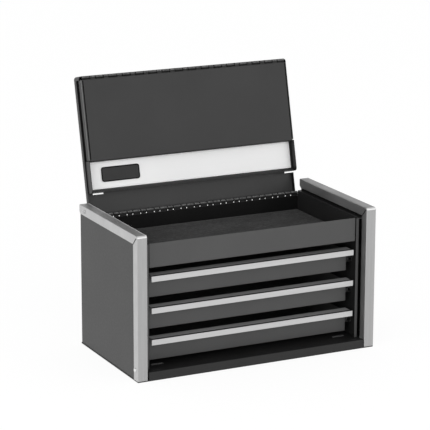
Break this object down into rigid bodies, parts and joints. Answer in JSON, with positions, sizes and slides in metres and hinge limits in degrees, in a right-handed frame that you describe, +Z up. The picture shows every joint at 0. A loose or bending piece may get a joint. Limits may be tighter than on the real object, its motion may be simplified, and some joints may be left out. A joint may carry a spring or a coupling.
{
  "type": "machinist tool chest",
  "caption": "Steel tool chest with an open top till, sliding drawers with full-width pulls, a hinged lid, and a front cover folded back against the lid.",
  "frame": {"origin": "centre of the case's footprint, on the surface it stands on", "axes": "+X to the user's right, +Y to the back, where the lid is hinged, +Z up"},
  "size_m": [0.443, 0.3064, 0.4527],
  "materials": {
    "grey_enamel": "fine textured powder coat",
    "black_enamel": "satin",
    "silver_enamel": "satin metallic enamel",
    "pull_aluminium": "brushed",
    "silver_band": "satin",
    "badge_enamel": "bare face",
    "hinge_steel": "plated",
    "bright_steel": "bright zinc",
    "rail_steel": "plated",
    "rivet_steel": "plated",
    "felt": "short felt"
  },
  "bodies": {
    "case": {"back_panel": "grey_enamel", "base_pan": "black_enamel", "base_rim": "black_enamel", "case_leaf_rivets": "rivet_steel", "inner_wall_left": "grey_enamel", "inner_wall_right": "grey_enamel", "lid_hinge_case_leaf": "hinge_steel", "lid_hinge_pin": "hinge_steel", "rail_1_left": "rail_steel", "rail_1_right": "rail_steel", "rail_2_left": "rail_steel", "rail_2_right": "rail_steel", "rail_3_left": "rail_steel", "rail_3_right": "rail_steel", "side_panel_left": "grey_enamel", "side_panel_right": "grey_enamel", "till_floor": "grey_enamel", "till_front": "grey_enamel", "till_liner": "felt", "trim_left": "silver_enamel", "trim_right": "silver_enamel", "trim_rivets_left": "rivet_steel", "trim_rivets_right": "rivet_steel"},
    "lid": {"cover_hinge_lid_leaf": "hinge_steel", "cover_hinge_pin": "hinge_steel", "lid_hinge_lid_leaf": "hinge_steel", "lid_shell": "grey_enamel"},
    "cover": {"badge_plate": "badge_enamel", "band_plate": "silver_band", "cover_hinge_cover_leaf": "hinge_steel", "cover_shell": "grey_enamel", "cover_tab_left": "bright_steel", "cover_tab_right": "bright_steel"},
    "drawer_1": {"drawer_1_box": "grey_enamel", "drawer_1_pull": "pull_aluminium", "drawer_1_runner_left": "rail_steel", "drawer_1_runner_right": "rail_steel"},
    "drawer_2": {"drawer_2_box": "grey_enamel", "drawer_2_pull": "pull_aluminium", "drawer_2_runner_left": "rail_steel", "drawer_2_runner_right": "rail_steel"},
    "drawer_3": {"drawer_3_box": "grey_enamel", "drawer_3_pull": "pull_aluminium", "drawer_3_runner_left": "rail_steel", "drawer_3_runner_right": "rail_steel"}
  },
  "joints": [
    {"name": "lid_hinge", "type": "hinge", "parent": "case", "child": "lid", "pos_m": [0, 0.119, 0.2203], "axis": [-1, 0, 0], "range_deg": [-98, 0]},
    {"name": "cover_hinge", "type": "hinge", "parent": "lid", "child": "cover", "pos_m": [0, 0.16473, 0.45018], "axis": [1, 0, 0], "range_deg": [-90, 0]},
    {"name": "drawer_1_slide", "type": "slide", "parent": "case", "child": "drawer_1", "axis": [0, -1, 0], "range_m": [0, 0.15]},
    {"name": "drawer_2_slide", "type": "slide", "parent": "case", "child": "drawer_2", "axis": [0, -1, 0], "range_m": [0, 0.15]},
    {"name": "drawer_3_slide", "type": "slide", "parent": "case", "child": "drawer_3", "axis": [0, -1, 0], "range_m": [0, 0.15]}
  ]
}
